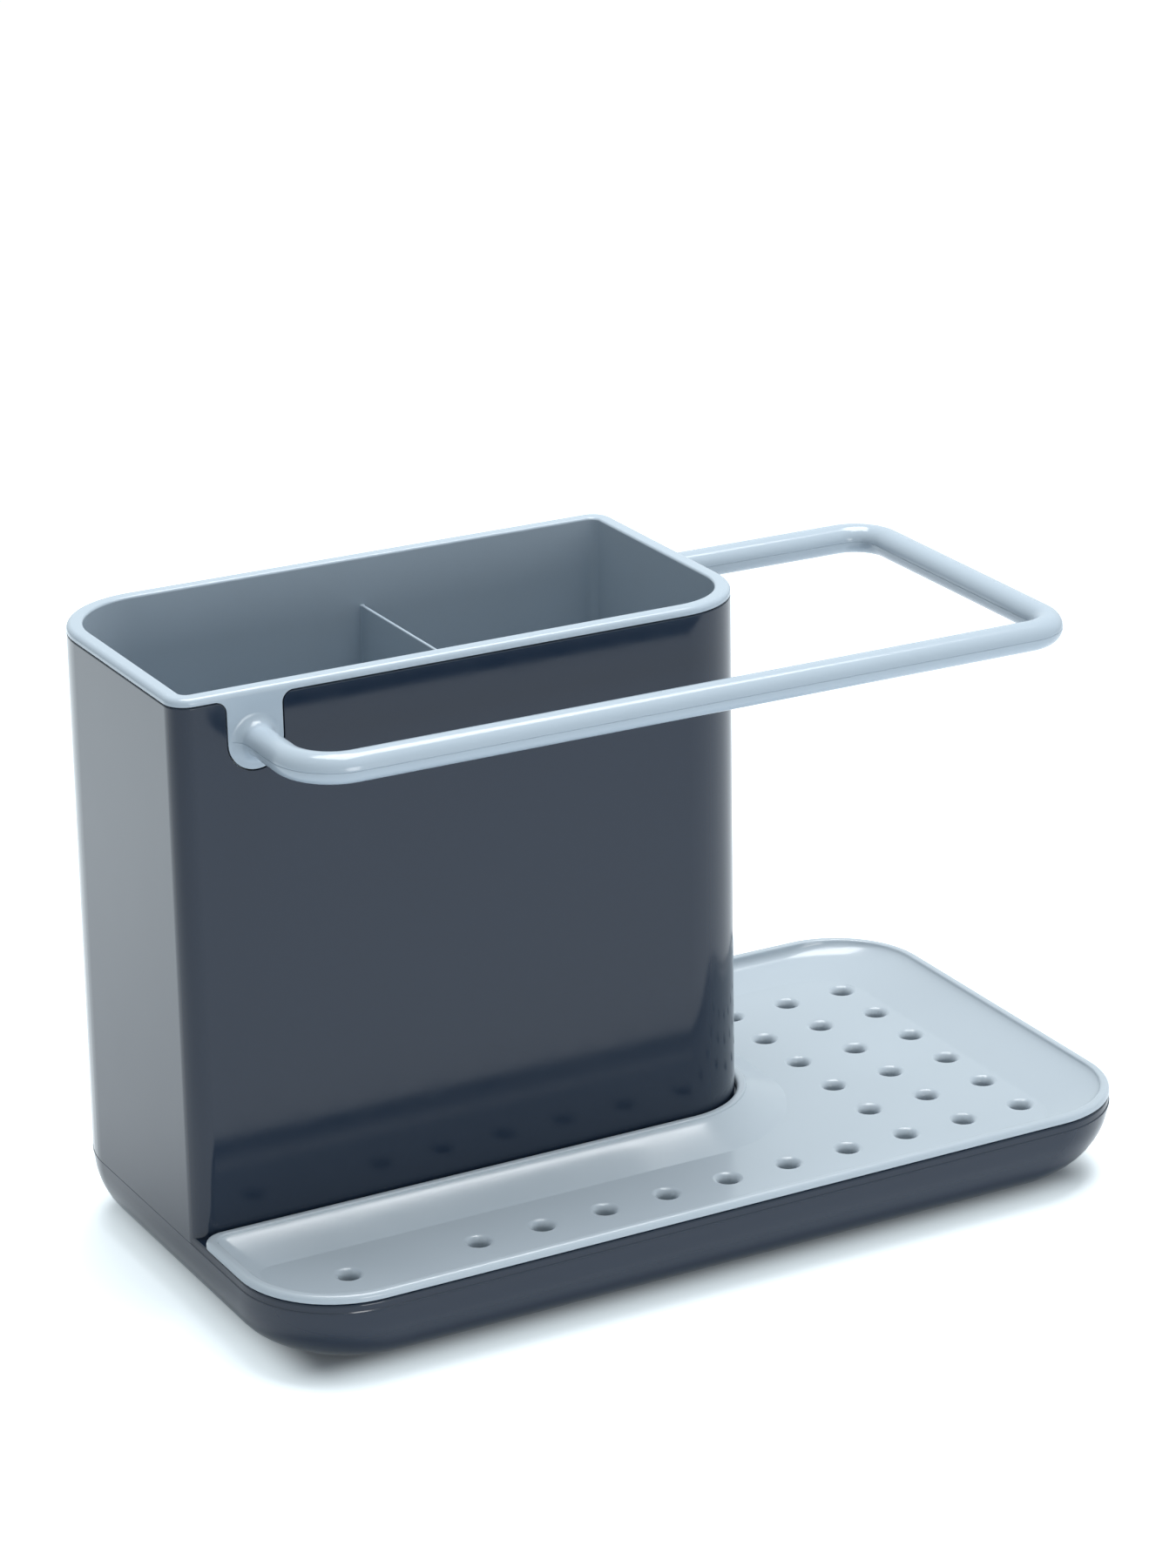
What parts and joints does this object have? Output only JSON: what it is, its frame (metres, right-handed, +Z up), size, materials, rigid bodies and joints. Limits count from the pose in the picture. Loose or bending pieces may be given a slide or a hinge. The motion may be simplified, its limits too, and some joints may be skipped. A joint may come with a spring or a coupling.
{
  "type": "kitchen sink caddy",
  "caption": "Tall divided holder with a lift-out liner and a round cloth rail, on a low basin with an L-shaped perforated drip tray.",
  "frame": {"origin": "middle of the footprint, at the height that the feet stand on", "axes": "+X along the length, from the tall holder to the open end of the tray; +Y to the back; +Z up"},
  "size_m": [0.2044, 0.1142, 0.1333],
  "materials": {
    "dark_plastic": "glossy moulded",
    "light_plastic": "glossy moulded",
    "foot_rubber": "matte"
  },
  "bodies": {
    "housing": {"outer_housing": "dark_plastic", "foot_front_left": "foot_rubber", "foot_front_right": "foot_rubber", "foot_back_left": "foot_rubber", "foot_back_right": "foot_rubber"},
    "liner": {"inner_liner": "light_plastic", "cloth_rail": "light_plastic"},
    "tray": {"drip_tray": "light_plastic"}
  },
  "joints": [
    {"name": "liner_lift", "type": "slide", "parent": "housing", "child": "liner", "axis": [0, 0, 1], "range_m": [0, 0.13]},
    {"name": "tray_lift", "type": "slide", "parent": "housing", "child": "tray", "axis": [0, 0, 1], "range_m": [0, 0.06]}
  ]
}
